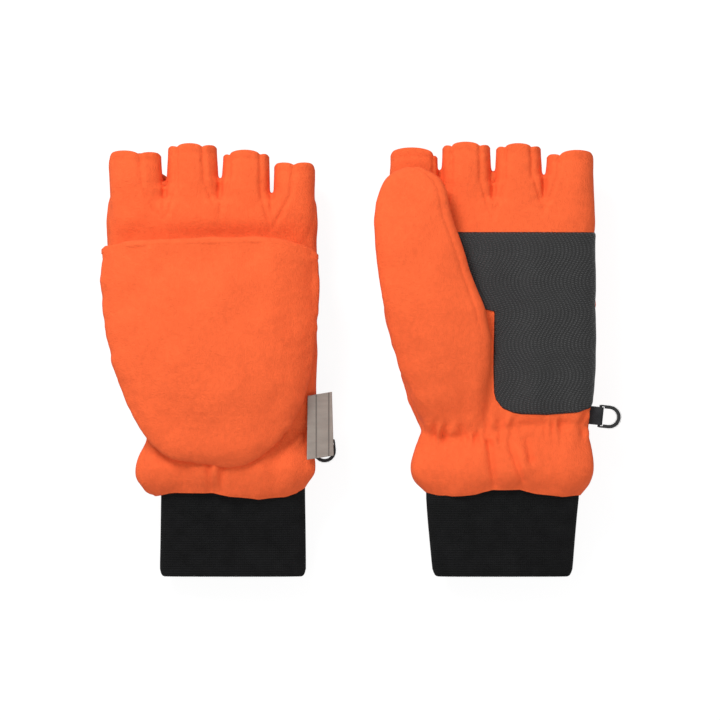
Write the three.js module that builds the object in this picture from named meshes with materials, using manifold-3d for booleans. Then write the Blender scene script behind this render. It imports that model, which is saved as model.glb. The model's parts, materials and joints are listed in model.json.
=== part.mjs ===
// A pair of convertible fleece mittens: fingerless gloves whose mitten hood folds back over the
// back of the hand. Millimetres, +Z up, fingers pointing along +Y, lying on z = 0.
//
// Each glove is drawn in its own hand frame first:
//   x  from the index finger's side (-) to the little finger's side (+)
//   y  from the mouth of the knit cuff (0) to the fingertips
//   h  from the palm's side (-) to the back of the hand (+), 0 halfway through the hand
// lay() then puts it on the table. The right glove lies palm down on its thumb, and the left
// glove, its mirror image in h, lies palm up on its folded hood.

import * as THREE from 'three';
import { mergeVertices } from 'three/addons/utils/BufferGeometryUtils.js';
import Module from 'manifold-3d';

const wasm = await Module();
wasm.setup();

// ---------------------------------------------------------------- driving dimensions

const GAP = 0.3;             // between two pieces that touch
const SHELL = 1.8;           // outer fleece
const INSULATION = 0.9;
const LINING = 0.8;
const CUFF_WALL = 2.4;       // double rib knit
const PATCH = 0.9;           // synthetic leather

const HEM_Y = 47;            // the fleece ends here, over the knit cuff
const SKIRT_Y = 61;          // the skirt below the wrist is fullest here
const CUFF_TOP_Y = 56;       // the cuff runs on inside the fleece
const LAYERS_FROM_Y = 57;    // insulation and lining start above the cuff
const INSULATION_TO_Y = 172;
const WEB_Y = 209;           // the fork between two finger stalls
const STALL_ROOT_Y = 176;    // stalls start inside the hand, narrower by this much
const STALL_ROOT_INSET = 3;
const STALL_FULL_Y = 199;
const STALL_HALF = 9.5;      // half the thickness of a finger stall
const FORK = { half: 8, high: 6, below: 10 };   // the strip sewn in between two stalls
const PAST = 5;              // how far a cutting form runs past an open end

const ROUND = 2.4;           // power of the rounded sections: 2 is an ellipse
const AROUND = 16;           // points round a section

// Insets of each layer's two faces from the outer face of the fleece.
const INSULATION_IN = SHELL + GAP;
const LINING_IN = INSULATION_IN + INSULATION + GAP;
const CAVITY_IN = LINING_IN + LINING;

// The hand, from hem to web: left and right edge, and half the thickness.
const HAND = [
  { y: HEM_Y, left: -35.5, right: 53, half: 11.2 },
  { y: SKIRT_Y, left: -44, right: 58, half: 13.5 },
  { y: 84, left: -39.5, right: 54.2, half: 11.2 },
  { y: 95, left: -43.5, right: 57, half: 12.4 },
  { y: 115, left: -49, right: 58.3, half: 13 },
  { y: 150, left: -56.5, right: 58.8, half: 13 },
  { y: 180, left: -60, right: 58.8, half: 12.6 },
  { y: 200, left: -60, right: 58.3, half: 11.4 },
  { y: WEB_Y, left: -58.5, right: 57.6, half: 9.9 },
];

// The thumb, from the wrist to its tip. depth is how far its middle lies on the palm's side.
const THUMB = [
  { y: 90, left: -40, right: -5, depth: 7.6, half: 5.6 },
  { y: 100, left: -47, right: -1.4, depth: 11, half: 7.2 },
  { y: 116, left: -52, right: -1, depth: 14.5, half: 8 },
  { y: 150, left: -59.6, right: -3.5, depth: 20.6, half: 8 },
  { y: 180, left: -63.3, right: -14.5, depth: 21.6, half: 8 },
  { y: 200, left: -64.2, right: -22.3, depth: 21.4, half: 7.6 },
  { y: 216, left: -60.8, right: -26.8, depth: 20.6, half: 6.9 },
  { y: 225, left: -55, right: -33.5, depth: 20, half: 5.4 },
  { y: 229.5, left: -49.5, right: -39, depth: 19.6, half: 3.6 },
];

// The cuff is drawn at the bend's knots, so that it bends with the fleece round it.
const BEND_KNOTS = [0, 4, 18, 32, HEM_Y, SKIRT_Y];
const CUFF = [...BEND_KNOTS.slice(0, -1), CUFF_TOP_Y].map((y) => ({
  y, left: y ? -31 : -30.2, right: y ? 49.7 : 49, half: y ? 8.6 : 8.4,
}));

const ELASTIC = { from: 80, to: 88, inset: 1, thick: 0.9 };

// The hood, folded back. Its mouth is a straight edge across the knuckles.
const HOOD = {
  mouthY: 189.6,
  left: -62.6,
  right: 59.4,
  corner: 5,
  underH: 14.4,          // under panel's lower face
  underThick: 2.2,
  crownH: 27.6,          // top panel's crown
  wall: 3,
  puff: 12,              // width of the rounded rim
  hem: 2.4,
  endY: 62,              // the curved edge reaches down to about here
  mouthSpan: 20,         // this much of the hood moves with its mouth
};
const RIM_STEPS = [0, 0.3, 0.55, 0.75, 0.9, 1];   // up the rounded rim, as shares of its rise
const RIM_POWER = 2.6;
const HOOD_SIDE = [      // round the hood's curved edge, from the mouth's right end to its left end
  [60.2, 160], [57.4, 128], [52, 102], [40, 79.5], [25, 66.5], [9, 61.2],
  [-9, 63.8], [-25, 67.6], [-38, 78], [-49, 97.5], [-57, 124], [-62.4, 152],
];
const ANCHOR = { from: 183, to: 190.8, left: -53, right: 51, thick: 1.4 };

const PALM_PATCH = [     // round the patch, from the thumb's fork
  [-3, 149.7], [-20.8, 193.6], [62, 193], [62, 96], [44, 92.6], [27, 91.3], [13, 91.7],
  [6.2, 93.4], [3.2, 97], [1.6, 104], [1.2, 118], [1.8, 149.7],
];

const LABEL = {
  outline: [[52.3, 66.2], [67.2, 68.4], [66.2, 104.2], [52.7, 102]],
  innerH: 9.6,
  slope: -0.38,
  thick: 0.8,
};

// The clip ring on its folded tape. u runs from its bar to the ring's end, v across.
const CLIP = { bar: 0.8, ring: 6.4, centre: 5.3, thick: 3, eye: 4.5 };
const TAPE = { thick: 0.7, width: 10.2, loop: 1.1, apart: 0.3, seam: 1.5, taper: 2.6 };
const SLOT_PLAY = { round: 0.5, across: 0.4 };   // room round the tape in the ring's slot

// ---------------------------------------------------------------- the two gloves

// up: which way the back of the hand faces. palmZ and roll: the hand's middle height over the
// table, and its slope across the hand, beyond the bend that starts at bendFrom.
const GLOVES = [
  {
    name: 'right', x: -82.6, up: 1, cuffZ: 9.2, palmZ: 26.6, roll: -0.08, bendFrom: 0,
    stalls: [
      { name: 'index', left: -58.2, right: -29, tip: 239 },
      { name: 'middle', left: -26, right: 2.6, tip: 243.2 },
      { name: 'ring', left: 4, right: 31.4, tip: 239.6 },
      { name: 'little', left: 33.4, right: 56.6, tip: 232.6 },
    ],
    clip: { at: [61.4, 76], z: 12, heading: -84, tapePitch: 38, tapeLength: 10.5 },
    label: true,
  },
  {
    name: 'left', x: 72.5, up: -1, cuffZ: 9.2, palmZ: 27.3, roll: 0, bendFrom: -5,
    stalls: [
      { name: 'index', left: -56.4, right: -29.4, tip: 240.8 },
      { name: 'middle', left: -27.4, right: 0.2, tip: 244 },
      { name: 'ring', left: 2.6, right: 28.6, tip: 243.2 },
      { name: 'little', left: 31, right: 57.6, tip: 239.4 },
    ],
    clip: { at: [61.2, 90.6], heading: -6, tapePitch: 0, tapeLength: 3.6 },
    label: false,
  },
];
const LENGTH = 244;

// How far up its bend the glove is at y: 0 at the mouth of the cuff and 1 from the last knot on,
// in straight lines between the knots, so that nested layers bend alike.
function bendAt(glove, y) {
  const next = BEND_KNOTS.findIndex((knot) => knot > y);
  if (next < 1) return next < 0 ? 1 : 0;
  const at = (knot) => THREE.MathUtils.smoothstep(knot, glove.bendFrom, BEND_KNOTS.at(-1));
  const [low, high] = [BEND_KNOTS[next - 1], BEND_KNOTS[next]];
  return THREE.MathUtils.mapLinear(y, low, high, at(low), at(high));
}

// The height over the table of the hand's middle, at a place in the hand frame.
function middleZ(glove, x, y) {
  return glove.cuffZ + bendAt(glove, y) * (glove.palmZ - glove.cuffZ + glove.roll * x);
}

// A point of the hand frame, on the table.
function lay(glove, x, y, h) {
  return [glove.x + x, y - LENGTH / 2, middleZ(glove, x, y) + glove.up * h];
}

// ---------------------------------------------------------------- solids

function solidOf(geometry) {
  const bare = geometry.clone();
  bare.deleteAttribute('normal');
  bare.deleteAttribute('uv');
  const merged = mergeVertices(bare, 1e-4);
  return new wasm.Manifold(new wasm.Mesh({
    numProp: 3,
    vertProperties: merged.attributes.position.array,
    triVerts: new Uint32Array(merged.index.array),
  }));
}

function block(left, right, from, to, bottom, top) {
  const box = new THREE.BoxGeometry(right - left, to - from, top - bottom);
  box.translate((left + right) / 2, (from + to) / 2, (bottom + top) / 2);
  return solidOf(box);
}

// A closed body through rounded sections along y, each { y, left, right, h, half }.
function loft(sections) {
  const points = [];
  const faces = [];
  const bulge = (t) => Math.sign(t) * Math.abs(t) ** (2 / ROUND);
  for (const { y, left, right, h, half } of sections) {
    for (let i = 0; i < AROUND; i++) {
      const angle = (i / AROUND) * 2 * Math.PI;
      points.push(
        (left + right) / 2 + bulge(Math.cos(angle)) * (right - left) / 2,
        y,
        h + bulge(Math.sin(angle)) * half,
      );
    }
  }
  for (let ring = 0; ring + 1 < sections.length; ring++) {
    for (let i = 0; i < AROUND; i++) {
      const a = ring * AROUND + i;
      const b = ring * AROUND + (i + 1) % AROUND;
      faces.push(a, a + AROUND, b, b, a + AROUND, b + AROUND);
    }
  }
  const last = (sections.length - 1) * AROUND;
  for (let i = 1; i + 1 < AROUND; i++) {
    faces.push(0, i, i + 1, last, last + i + 1, last + i);
  }
  const geometry = new THREE.BufferGeometry();
  geometry.setAttribute('position', new THREE.Float32BufferAttribute(points, 3));
  geometry.setIndex(faces);
  return solidOf(geometry);
}

function outline(points) {
  return new THREE.Shape(points.map(([x, y]) => new THREE.Vector2(x, y)));
}

function prism(shape, bottom, top) {
  const geometry = new THREE.ExtrudeGeometry(shape, { depth: top - bottom, bevelEnabled: false });
  geometry.translate(0, 0, bottom);
  return solidOf(geometry);
}

const inset = (section, by) => ({
  y: section.y,
  left: section.left + by,
  right: section.right - by,
  h: section.h ?? 0,
  half: section.half - by,
});

// The hand alone, inset by a wall. It runs on below the hem.
function handForm(by) {
  const sections = HAND.map((s) => inset(s, by));
  sections[sections.length - 1].y -= by;
  return loft([{ ...sections[0], y: HEM_Y - PAST }, ...sections]);
}

function stallForm(stall, by, past) {
  const section = inset({ ...stall, half: STALL_HALF }, by);
  return loft([
    { ...inset(section, STALL_ROOT_INSET), y: STALL_ROOT_Y + by },
    { ...section, y: STALL_FULL_Y },
    { ...section, y: stall.tip + past },
  ]);
}

function thumbForm(by) {
  const sections = THUMB.map((s) => inset({ ...s, h: -s.depth }, by));
  sections[0].y += by;
  sections[sections.length - 1].y -= by;
  return loft(sections);
}

// Hand and four stalls together.
function gloveForm(glove, by, past = 0) {
  return glove.stalls.reduce((form, stall) => form.add(stallForm(stall, by, past)), handForm(by));
}

const FAR = 300;
const below = (y) => block(-FAR, FAR, -FAR, y, -FAR, FAR);

// ---------------------------------------------------------------- pieces of fabric

// The outer fleece: a back panel, a palm panel, and three forks between the stalls.
function shellPieces(glove) {
  const groove = handForm(ELASTIC.inset - GAP)
    .intersect(block(-FAR, FAR, ELASTIC.from - GAP, ELASTIC.to + GAP, -FAR, FAR));
  const shell = gloveForm(glove, 0)
    .subtract(gloveForm(glove, SHELL, PAST))
    .subtract(below(HEM_Y))
    .subtract(groove);
  const pieces = {};
  let panels = shell;
  for (let i = 0; i < 3; i++) {
    const x = (glove.stalls[i].right + glove.stalls[i + 1].left) / 2;
    const fork = (grow) => block(
      x - FORK.half - grow, x + FORK.half + grow, WEB_Y - FORK.below - grow, FAR,
      -FORK.high - grow, FORK.high + grow,
    );
    const pair = `${glove.stalls[i].name}_${glove.stalls[i + 1].name}`;
    pieces[`${pair}_fourchette`] = shell.intersect(fork(0));
    panels = panels.subtract(fork(GAP));
  }
  const backSide = block(-FAR, FAR, -FAR, FAR, GAP / 2, FAR);
  const palmSide = block(-FAR, FAR, -FAR, FAR, -FAR, -GAP / 2);
  pieces.back_panel = panels.intersect(backSide);
  pieces.palm_panel = panels.intersect(palmSide).subtract(thumbForm(SHELL));
  return pieces;
}

// The lining: hand, stalls and thumb in one bag.
function lining(glove) {
  return gloveForm(glove, LINING_IN).add(thumbForm(LINING_IN))
    .subtract(gloveForm(glove, CAVITY_IN, PAST).add(thumbForm(CAVITY_IN)))
    .subtract(below(LAYERS_FROM_Y));
}

// The insulation wraps the hand only, with a hole that the thumb's lining passes through.
function insulation() {
  return handForm(INSULATION_IN)
    .subtract(handForm(INSULATION_IN + INSULATION))
    .subtract(thumbForm(INSULATION_IN))
    .intersect(block(-FAR, FAR, LAYERS_FROM_Y, INSULATION_TO_Y, -FAR, FAR));
}

// Everything on the hand's side of the thumb's middle, which follows the thumb's depth.
function handSideOfThumb(lift) {
  const profile = [
    [0, lift - THUMB[0].depth],
    ...THUMB.map((s) => [s.y, lift - s.depth]),
    [FAR, lift - THUMB[THUMB.length - 1].depth],
    [FAR, FAR],
    [0, FAR],
  ];
  const geometry = new THREE.ExtrudeGeometry(outline(profile), { depth: 2 * FAR, bevelEnabled: false });
  geometry.translate(0, 0, -FAR);
  geometry.applyMatrix4(new THREE.Matrix4().makeBasis(
    new THREE.Vector3(0, 1, 0), new THREE.Vector3(0, 0, 1), new THREE.Vector3(1, 0, 0),
  ));
  return solidOf(geometry);
}

// The thumb is sewn from an inner panel, next to the palm, and an outer one.
function thumbPanels() {
  const stall = thumbForm(0).subtract(thumbForm(SHELL)).subtract(handForm(-GAP));
  return {
    thumb_inner_panel: stall.intersect(handSideOfThumb(GAP / 2)),
    thumb_outer_panel: stall.subtract(handSideOfThumb(-GAP / 2)),
  };
}

function palmPatch(glove) {
  return gloveForm(glove, -GAP - PATCH)
    .subtract(gloveForm(glove, -GAP))
    .intersect(prism(outline(PALM_PATCH), -FAR, -2 * GAP))
    .subtract(thumbForm(-GAP));
}

function wristElastic() {
  return handForm(ELASTIC.inset)
    .subtract(handForm(ELASTIC.inset + ELASTIC.thick))
    .intersect(block(-FAR, FAR, ELASTIC.from, ELASTIC.to, -FAR, FAR));
}

function knitCuff() {
  const hollow = CUFF.map((s) => inset(s, CUFF_WALL));
  hollow[0].y -= PAST;
  hollow[hollow.length - 1].y += PAST;
  return loft(CUFF.map((s) => inset(s, 0))).subtract(loft(hollow));
}

// Points round the hood, from the mouth's left end, across the mouth and round the curved edge.
function hoodOutline() {
  const { left, right, mouthY, corner } = HOOD;
  const side = new THREE.SplineCurve(
    [[right, mouthY - corner], ...HOOD_SIDE, [left, mouthY - corner]]
      .map(([x, y]) => new THREE.Vector2(x, y)),
  );
  const ends = [[left + corner, mouthY], [right - corner, mouthY]];
  return [...ends.map(([x, y]) => new THREE.Vector2(x, y)), ...side.getPoints(30)];
}

// The hood's outline drawn in by shrink, with the mouth edge at mouthY + past. The even wall
// comes from drawing each side towards the middle of the mouth.
function drawnIn(points, shrink, past) {
  const { left, right, mouthY, endY, mouthSpan } = HOOD;
  const middle = (left + right) / 2;
  const across = 1 - 2 * shrink / (right - left);
  const along = 1 - shrink / (mouthY - endY);
  return points.map((p) => new THREE.Vector2(
    middle + (p.x - middle) * across,
    mouthY + past + (p.y - mouthY) * along - (p.y < mouthY - mouthSpan ? past : 0),
  ));
}

// A closed body through copies of the hood's outline, each { h, shrink }, from the lowest up.
function hoodForm(levels, past = 0) {
  const outlinePoints = hoodOutline();
  const count = outlinePoints.length;
  const points = [];
  const faces = [];
  levels.forEach(({ h, shrink }) => {
    for (const p of drawnIn(outlinePoints, shrink, past)) points.push(p.x, p.y, h);
  });
  for (let ring = 0; ring + 1 < levels.length; ring++) {
    for (let i = 0; i < count; i++) {
      const a = ring * count + i;
      const b = ring * count + (i + 1) % count;
      faces.push(a, a + count, b, b, a + count, b + count);
    }
  }
  const last = (levels.length - 1) * count;
  for (const [a, b, c] of THREE.ShapeUtils.triangulateShape(outlinePoints, [])) {
    faces.push(c, b, a, last + a, last + b, last + c);
  }
  const geometry = new THREE.BufferGeometry();
  geometry.setAttribute('position', new THREE.Float32BufferAttribute(points, 3));
  geometry.setIndex(faces);
  return solidOf(geometry);
}

// Under panel, top panel and hem of the hood.
function hoodPieces() {
  const { underH, underThick, crownH, mouthY, wall, puff, hem } = HOOD;
  const rimH = underH + underThick + GAP;
  const rise = crownH - rimH;
  const dome = RIM_STEPS.map((t) => ({ h: rimH + rise * t, shrink: puff * t ** RIM_POWER }));
  const hollow = dome.slice(0, -1).map(({ h, shrink }) => ({ h: h - wall / 3, shrink: shrink + wall }));
  hollow[0].h = rimH - PAST / 5;
  hollow[hollow.length - 1].h = crownH - wall;
  const top = hoodForm(dome).subtract(hoodForm(hollow, PAST));
  const hemBlock = (grow) => block(-FAR, FAR, mouthY - hem - grow, FAR, -FAR, FAR);
  return {
    hood_under_panel: hoodForm([{ h: underH, shrink: 0 }, { h: underH + underThick, shrink: 0 }]),
    hood_top_panel: top.subtract(hemBlock(GAP)),
    hood_hem: top.intersect(hemBlock(0)),
  };
}

// The band across the knuckles that the hood is sewn to.
function hoodAnchor(glove) {
  const { from, to, left, right, thick } = ANCHOR;
  return gloveForm(glove, -GAP - thick)
    .subtract(gloveForm(glove, -GAP))
    .intersect(block(left, right, from, to, GAP, FAR));
}

function sideLabel() {
  const { outline: corners, innerH, slope, thick } = LABEL;
  const geometry = new THREE.ExtrudeGeometry(outline(corners), { depth: thick, bevelEnabled: false });
  const at = geometry.attributes.position;
  for (let i = 0; i < at.count; i++) {
    at.setZ(i, at.getZ(i) + innerH + slope * (at.getX(i) - corners[0][0]));
  }
  return solidOf(geometry);
}

// ---------------------------------------------------------------- the clip

function disc(x, radius) {
  const cylinder = new THREE.CylinderGeometry(radius, radius, CLIP.thick * 3, 20);
  cylinder.rotateX(Math.PI / 2);
  cylinder.translate(x, 0, 0);
  return solidOf(cylinder);
}

// The D-shaped ring, with a round bar across its straight side.
function clipRing() {
  const { ring, centre, thick, bar, eye } = CLIP;
  const half = thick / 2;
  const slot = TAPE.loop + TAPE.thick + SLOT_PLAY.round;
  const slotHalf = TAPE.width / 2 + SLOT_PLAY.across;
  const round = disc(centre, ring).intersect(block(centre - 1, FAR, -FAR, FAR, -half, half));
  const arms = block(0, centre, -ring, ring, -half, half);
  const hole = disc(centre, eye).add(block(slot - GAP, centre, -eye, eye, -FAR, FAR));
  const tapeSlot = block(-FAR, slot, -slotHalf, slotHalf, -FAR, FAR);
  const rod = new THREE.CylinderGeometry(bar, bar, 2 * ring - GAP, 10);
  const squareEnds = block(-FAR, bar, -FAR, FAR, -FAR, FAR)
    .subtract(block(-FAR, FAR, -FAR, FAR, -bar, bar));
  return round.add(arms).subtract(hole).subtract(tapeSlot).subtract(squareEnds).add(solidOf(rod));
}

// The tape, folded round the bar, with its two ends pointing back to the seam.
function clipTape(length) {
  const { thick, width, loop, apart, seam, taper } = TAPE;
  const fold = new THREE.Shape();
  fold.moveTo(-length, loop + thick);
  fold.lineTo(0, loop + thick);
  fold.absarc(0, 0, loop + thick, Math.PI / 2, -Math.PI / 2, true);
  fold.lineTo(-length, -loop - thick);
  fold.lineTo(-length, -apart / 2);
  fold.lineTo(-length + seam, -apart / 2);
  fold.lineTo(-taper, -loop);
  fold.lineTo(0, -loop);
  fold.absarc(0, 0, loop, -Math.PI / 2, Math.PI / 2, false);
  fold.lineTo(-taper, loop);
  fold.lineTo(-length + seam, apart / 2);
  fold.lineTo(-length, apart / 2);
  const geometry = new THREE.ExtrudeGeometry(fold, { depth: width, bevelEnabled: false, curveSegments: 6 });
  geometry.translate(0, 0, -width / 2);
  geometry.rotateX(Math.PI / 2);
  return solidOf(geometry);
}

// ---------------------------------------------------------------- materials and meshes

const material = (color, roughness, metalness = 0) =>
  new THREE.MeshStandardMaterial({ color, roughness, metalness });
const MATERIALS = {
  fleece: material('#ff6a35', 0.95),
  insulation: material('#e8e6e0', 1),
  lining: material('#f2641f', 1),
  knit: material('#17181a', 0.9),
  patch: material('#3b3b3c', 0.6),
  elastic: material('#2a2a2a', 0.9),
  label: material('#9c948c', 0.45),
  tape: material('#1d1d1f', 0.85),
  plastic: material('#202122', 0.4),
};

// A solid of the hand frame, laid on the table as a mesh.
function laid(glove, name, solid, finish) {
  const mesh = solid.getMesh();
  const points = [];
  for (let i = 0; i < mesh.numVert; i++) {
    const [x, y, h] = mesh.vertProperties.subarray(i * mesh.numProp, i * mesh.numProp + 3);
    points.push(...lay(glove, x, y, h));
  }
  const faces = Array.from(mesh.triVerts);
  if (glove.up < 0) faces.reverse();
  return meshOf(glove, name, points, faces, finish);
}

function plain(glove, name, solid, finish) {
  const mesh = solid.getMesh();
  return meshOf(glove, name, Array.from(mesh.vertProperties), Array.from(mesh.triVerts), finish);
}

function meshOf(glove, name, points, faces, finish) {
  const geometry = new THREE.BufferGeometry();
  geometry.setAttribute('position', new THREE.Float32BufferAttribute(points, 3));
  geometry.setIndex(faces);
  geometry.computeVertexNormals();
  const mesh = new THREE.Mesh(geometry, MATERIALS[finish]);
  mesh.name = `${glove.name}_${name}`;
  return mesh;
}

function clipGroup(glove) {
  const { at: [x, y], z, heading, tapePitch, tapeLength } = glove.clip;
  const group = new THREE.Group();
  group.position.set(glove.x + x, y - LENGTH / 2, z ?? middleZ(glove, x, y));
  group.rotation.z = THREE.MathUtils.degToRad(heading);
  const tape = plain(glove, 'clip_tape', clipTape(tapeLength), 'tape');
  tape.rotation.y = THREE.MathUtils.degToRad(tapePitch);
  group.add(plain(glove, 'clip_ring', clipRing(), 'plastic'));
  group.add(tape);
  return group;
}

function gloveGroup(glove) {
  const group = new THREE.Group();
  const add = (name, solid, finish) => group.add(laid(glove, name, solid, finish));
  for (const [name, solid] of Object.entries(shellPieces(glove))) add(name, solid, 'fleece');
  for (const [name, solid] of Object.entries(thumbPanels())) add(name, solid, 'fleece');
  add('insulation', insulation(), 'insulation');
  add('lining', lining(glove), 'lining');
  add('wrist_elastic', wristElastic(), 'elastic');
  add('knit_cuff', knitCuff(), 'knit');
  add('palm_patch', palmPatch(glove), 'patch');
  add('hood_anchor', hoodAnchor(glove), 'fleece');
  for (const [name, solid] of Object.entries(hoodPieces())) add(name, solid, 'fleece');
  if (glove.label) add('side_label', sideLabel(), 'label');
  group.add(clipGroup(glove));
  return group;
}

// The pair stands on z = 0, with the origin under the middle of its box.
const pair = new THREE.Group();
for (const glove of GLOVES) pair.add(gloveGroup(glove));
const box = new THREE.Box3().setFromObject(pair, true);
const middle = box.getCenter(new THREE.Vector3());
pair.position.set(-middle.x, -middle.y, -box.min.z);

export default pair;
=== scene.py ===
import json
import math

import bpy
import bmesh
import numpy as np
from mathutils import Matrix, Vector, kdtree
from mathutils.bvhtree import BVHTree


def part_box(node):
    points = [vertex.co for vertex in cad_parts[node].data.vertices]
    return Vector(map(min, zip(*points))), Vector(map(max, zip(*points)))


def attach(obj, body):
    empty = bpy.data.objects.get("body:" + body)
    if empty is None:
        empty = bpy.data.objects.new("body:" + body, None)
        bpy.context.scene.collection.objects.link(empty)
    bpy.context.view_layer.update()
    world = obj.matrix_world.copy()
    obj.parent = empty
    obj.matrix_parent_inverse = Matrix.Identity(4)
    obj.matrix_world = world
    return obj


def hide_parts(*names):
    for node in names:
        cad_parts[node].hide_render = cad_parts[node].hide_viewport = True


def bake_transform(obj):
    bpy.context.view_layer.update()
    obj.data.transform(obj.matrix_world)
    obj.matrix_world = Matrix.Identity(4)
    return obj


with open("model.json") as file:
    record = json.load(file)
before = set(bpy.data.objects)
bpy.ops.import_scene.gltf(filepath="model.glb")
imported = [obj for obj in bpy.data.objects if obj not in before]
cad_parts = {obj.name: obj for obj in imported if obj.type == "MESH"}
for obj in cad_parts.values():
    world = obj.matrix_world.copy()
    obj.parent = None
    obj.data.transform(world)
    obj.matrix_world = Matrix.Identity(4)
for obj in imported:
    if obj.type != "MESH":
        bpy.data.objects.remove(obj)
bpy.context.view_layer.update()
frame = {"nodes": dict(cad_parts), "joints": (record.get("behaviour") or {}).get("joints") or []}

# A pair of convertible fleece mittens. Every soft piece is drawn in its glove's hand frame, in
# millimetres: x from the index finger's side to the little finger's, y from the mouth of the
# cuff to the fingertips, h from the palm to the back of the hand. Glove.place() lays it on the
# table where the CAD has it.

MM = 0.001

# ------------------------------------------------------------------ sizes of the hand

HEM_Y = 46               # foot of the fleece
WEB_Y = 211              # where the hand's own form ends, below the forks
SLEEVE_FROM = 172        # where the stalls' forms start, inside the hand's
STALL_HALF = 9.7         # half a stall's thickness
OVERRUN = 8              # how far a form runs past its mouth, before it is cut open
ABOVE_TABLE = 0.2        # nothing soft lies lower
FORK_BELOW = 2.4         # the skin closes over the bottom of a gap, so its sides part this far below
GAP_FOOT = 0.9           # half a gap's width at its foot
GAP_MORE = 0.35          # each stall draws back this much more from its neighbour
CORNER = 2.6             # rounding of a stall mouth's outer corners
LOBE = 0.16              # how far a panel's edge bows out, as a share of its width
LINED_FROM = 57          # foot of the lining and the insulation
SQUARENESS = 2.4         # power of the rounded sections: 2 is an ellipse

# y, left, right, half thickness
HAND = [
    (40, -29, 47.5, 8.6), (45, -30, 48, 9.2), (46.6, -33.5, 49.8, 10.6), (49, -38.6, 52.2, 12.4),
    (53, -42.6, 56.2, 13.9), (58, -43.9, 58.6, 14.8), (64, -43.4, 58.8, 14.6), (70, -41.8, 57.4, 13.6),
    (77, -38.6, 55, 11.6), (83, -37.6, 53.8, 10.6), (89, -40.2, 55.2, 11.8),
    (100, -43.4, 56.6, 12.9), (120, -47.4, 57.6, 13.4), (150, -54.2, 57.8, 13.3),
    (180, -58.8, 58, 12.6), (200, -59.6, 58.2, 11), (WEB_Y, -58.4, 57.4, 9.6),
]
# y, left, right, depth below the middle of the hand, half thickness
THUMB = [
    (76, -34, 0, 1, 8.6), (84, -37, 0.2, 2.4, 9.6), (90, -39, 0.4, 4.4, 10.4), (100, -45.6, 0.6, 8.2, 11),
    (116, -51, 0, 13, 10.6), (135, -56.2, -1, 17.2, 10),
    (150, -59, -4, 20.4, 8.9), (168, -62.2, -10.4, 21.4, 8.7),
    (184, -64, -16, 21.6, 8.3), (200, -65, -21.8, 21.4, 7.7), (210, -64, -23.8, 20.8, 7.2),
    (217, -61.6, -25, 20.4, 6.6), (222, -59, -27.4, 20.2, 5.8), (226, -55.4, -31.4, 19.9, 4.8),
    (229, -51, -36, 19.7, 3.4), (230.6, -46.6, -40.4, 19.6, 1.8),
]

# ------------------------------------------------------------------ sizes of the hood

MOUTH_Y = 189.6
# places across the hood's mouth, and how far its edge lies above MOUTH_Y there
MOUTH_EDGE = (
    [-63, -60, -42, -15, 3, 21, 39, 52, 57, 60],
    [-5.4, -2.8, -1.3, 0.2, 0.6, 1.2, -0.5, -3.1, -5.6, -9],
)
HEM_ROLL = 2.7           # radius of the rolled hem
HOOD_LEFT = -62.6
HOOD_RIGHT = 59.4
HOOD_LENGTH = 128
# x, y round the hood's closed end
HOOD_SIDE = [
    (60.2, 160), (57.4, 128), (52, 102), (40, 79.5), (25, 66.5), (9, 61.2),
    (-9, 63.8), (-25, 67.6), (-38, 78), (-49, 97.5), (-57, 124), (-62.4, 152),
]
HOOD_UNDER_H = 14.6
HOOD_CROWN_H = 28.6
# up the hood's rim: share of its height, and how far its outline is drawn in there
HOOD_LEVELS = [
    (0, 2.2), (0.04, 0.9), (0.1, 0.2), (0.3, 0), (0.5, 1.2),
    (0.66, 3.4), (0.79, 6.8), (0.88, 11), (0.95, 17), (1, 27),
]
# the cloth that gives the hood's top its fullness: voxel and cap in mm, and how many of its
# points each point of the hood follows
CLOTH_VOXEL = 4.4
CLOTH_PRESSURE = 4
CLOTH_FRAMES = 20
CLOTH_CAP = 5
CLOTH_NEAR = 8

# ------------------------------------------------------------------ sizes of the rest

CUFF_LENGTH = 56
CUFF_HALF = 8.5          # half the cuff's thickness
CUFF_SAMPLES = 1056      # points round the cuff
CUFF_ROUND = 1.8         # the mouth's folded edge is rounded over this height
CUFF_SQUARENESS = 2.6
RIB = 1.15               # from one rib to the next
PATCH_TOP = 193.4
PATCH_TURN = 47.5        # past this x the patch wraps round the side
TURN_RADIUS = 11.5       # mm of patch for each radian of that turn
RAY_LENGTH = 50
LABEL = [(52.3, 66.2), (67.2, 68.4), (66.2, 104.2), (52.7, 102)]
BEND_KNOTS = [0, 4, 18, 32, 47, 61]     # y; the climb from cuff to hand is straight between them
FAR = 1e9


# ------------------------------------------------------------------ small tools

def smoothstep(t, low=0.0, high=1.0):
    t = np.clip((np.asarray(t, float) - low) / (high - low), 0, 1)
    return t * t * (3 - 2 * t)


def bell(t, width):
    return np.exp(-(np.asarray(t, float) / width) ** 2)


def table(rows, y, soften=4.0):
    """The rows' columns at y, rounded off over a few millimetres."""
    rows = np.array(rows, float)
    steps = np.linspace(-2, 2, 9) * soften
    weights = bell(steps, 1.2 * soften)
    weights /= weights.sum()
    columns = []
    for c in range(1, rows.shape[1]):
        near = [np.interp(y + s, rows[:, 0], rows[:, c]) for s in steps]
        columns.append(sum(w * value for w, value in zip(weights, near)))
    return columns


class Noise:
    """Smooth repeatable noise between about -1 and 1."""

    SIZE = 32

    def __init__(self, seed):
        self.grid = np.random.default_rng(seed).uniform(-1, 1, (self.SIZE,) * 3)

    def __call__(self, x, y, z=0.0):
        p = np.stack(np.broadcast_arrays(x, y, z), -1).astype(float)
        low = np.floor(p).astype(int)
        t = p - low
        t = t * t * (3 - 2 * t)
        total = 0
        for corner in np.ndindex(2, 2, 2):
            i = (low + corner) % self.SIZE
            share = np.prod(np.where(corner, t, 1 - t), -1)
            total = total + share * self.grid[i[..., 0], i[..., 1], i[..., 2]]
        return total


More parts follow.
